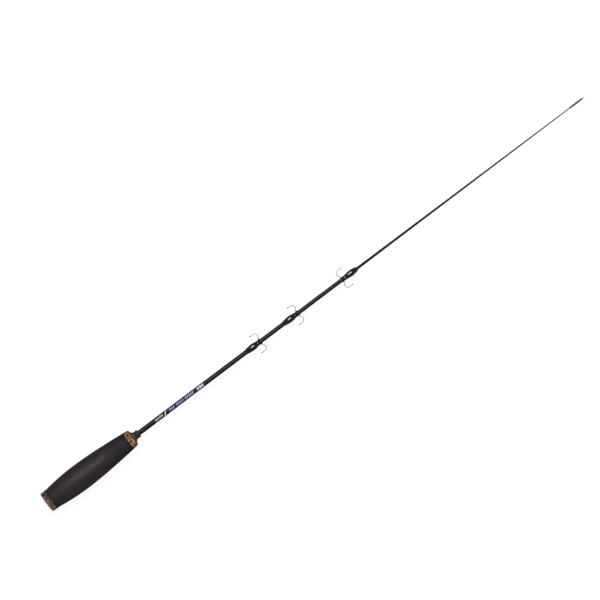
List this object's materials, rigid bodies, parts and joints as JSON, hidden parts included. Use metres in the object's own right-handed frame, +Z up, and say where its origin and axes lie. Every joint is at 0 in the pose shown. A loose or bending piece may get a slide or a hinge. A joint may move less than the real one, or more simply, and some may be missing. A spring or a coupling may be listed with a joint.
{
  "type": "ice fishing rod",
  "caption": "Short telescopic ice fishing rod with a barrel-shaped foam and cork handle, hooked line winders on the tube, and a thin tip section with a soft nod sleeve.",
  "frame": {"origin": "centre of the flat butt face of the handle", "axes": "+X along the rod from butt to tip; the winders' hooks lie in the XY plane; +Z up"},
  "size_m": [0.6, 0.0242, 0.0242],
  "materials": {
    "cork_dark": "matte",
    "cork_light": "matte",
    "accent": "matte",
    "foam": "matte",
    "washer": "satin",
    "check_grey": "satin",
    "collar_rubber": "satin",
    "tube_blank": "satin",
    "plug": "matte",
    "tip_lacquer": "gloss",
    "nod_red": "satin",
    "olive_rubber": "gloss",
    "binding_rubber": "satin",
    "hook_steel": "polished",
    "bead": "satin"
  },
  "bodies": {
    "handle": {"rear_cork_cap": "cork_dark", "rear_accent_disc": "accent", "grip": "foam", "front_accent_ring": "accent", "front_cork_ring": "cork_light", "check_washer": "washer", "winding_check": "check_grey", "tube_collar": "collar_rubber", "outer_tube": "tube_blank", "stop_plug": "plug"},
    "tip_section": {"tip_blank": "tip_lacquer"},
    "nod": {"nod_sleeve": "nod_red"},
    "winder_1": {"winder_1_sleeve": "olive_rubber"},
    "winder_1_swivel": {"winder_1_binding": "binding_rubber", "winder_1_hooks": "hook_steel", "winder_1_beads": "bead"},
    "winder_2": {"winder_2_sleeve": "olive_rubber"},
    "winder_2_swivel": {"winder_2_binding": "binding_rubber", "winder_2_hooks": "hook_steel", "winder_2_beads": "bead"},
    "winder_3": {"winder_3_sleeve": "olive_rubber"},
    "winder_3_swivel": {"winder_3_binding": "binding_rubber", "winder_3_hooks": "hook_steel", "winder_3_beads": "bead"}
  },
  "joints": [
    {"name": "tip_telescope", "type": "slide", "parent": "handle", "child": "tip_section", "axis": [1, 0, 0], "range_m": [-0.26, 0]},
    {"name": "nod_slide", "type": "slide", "parent": "tip_section", "child": "nod", "axis": [1, 0, 0], "range_m": [-0.006, 0.002]},
    {"name": "winder_1_slide", "type": "slide", "parent": "handle", "child": "winder_1", "axis": [1, 0, 0], "range_m": [-0.03, 0.008]},
    {"name": "winder_1_turn", "type": "hinge", "parent": "winder_1", "child": "winder_1_swivel", "pos_m": [0.2384, 0, 0], "axis": [1, 0, 0], "continuous": true},
    {"name": "winder_2_slide", "type": "slide", "parent": "handle", "child": "winder_2", "axis": [1, 0, 0], "range_m": [-0.012, 0.008]},
    {"name": "winder_2_turn", "type": "hinge", "parent": "winder_2", "child": "winder_2_swivel", "pos_m": [0.2802, 0, 0], "axis": [1, 0, 0], "continuous": true},
    {"name": "winder_3_slide", "type": "slide", "parent": "handle", "child": "winder_3", "axis": [1, 0, 0], "range_m": [-0.02, 0]},
    {"name": "winder_3_turn", "type": "hinge", "parent": "winder_3", "child": "winder_3_swivel", "pos_m": [0.3305, 0, 0], "axis": [1, 0, 0], "continuous": true}
  ]
}
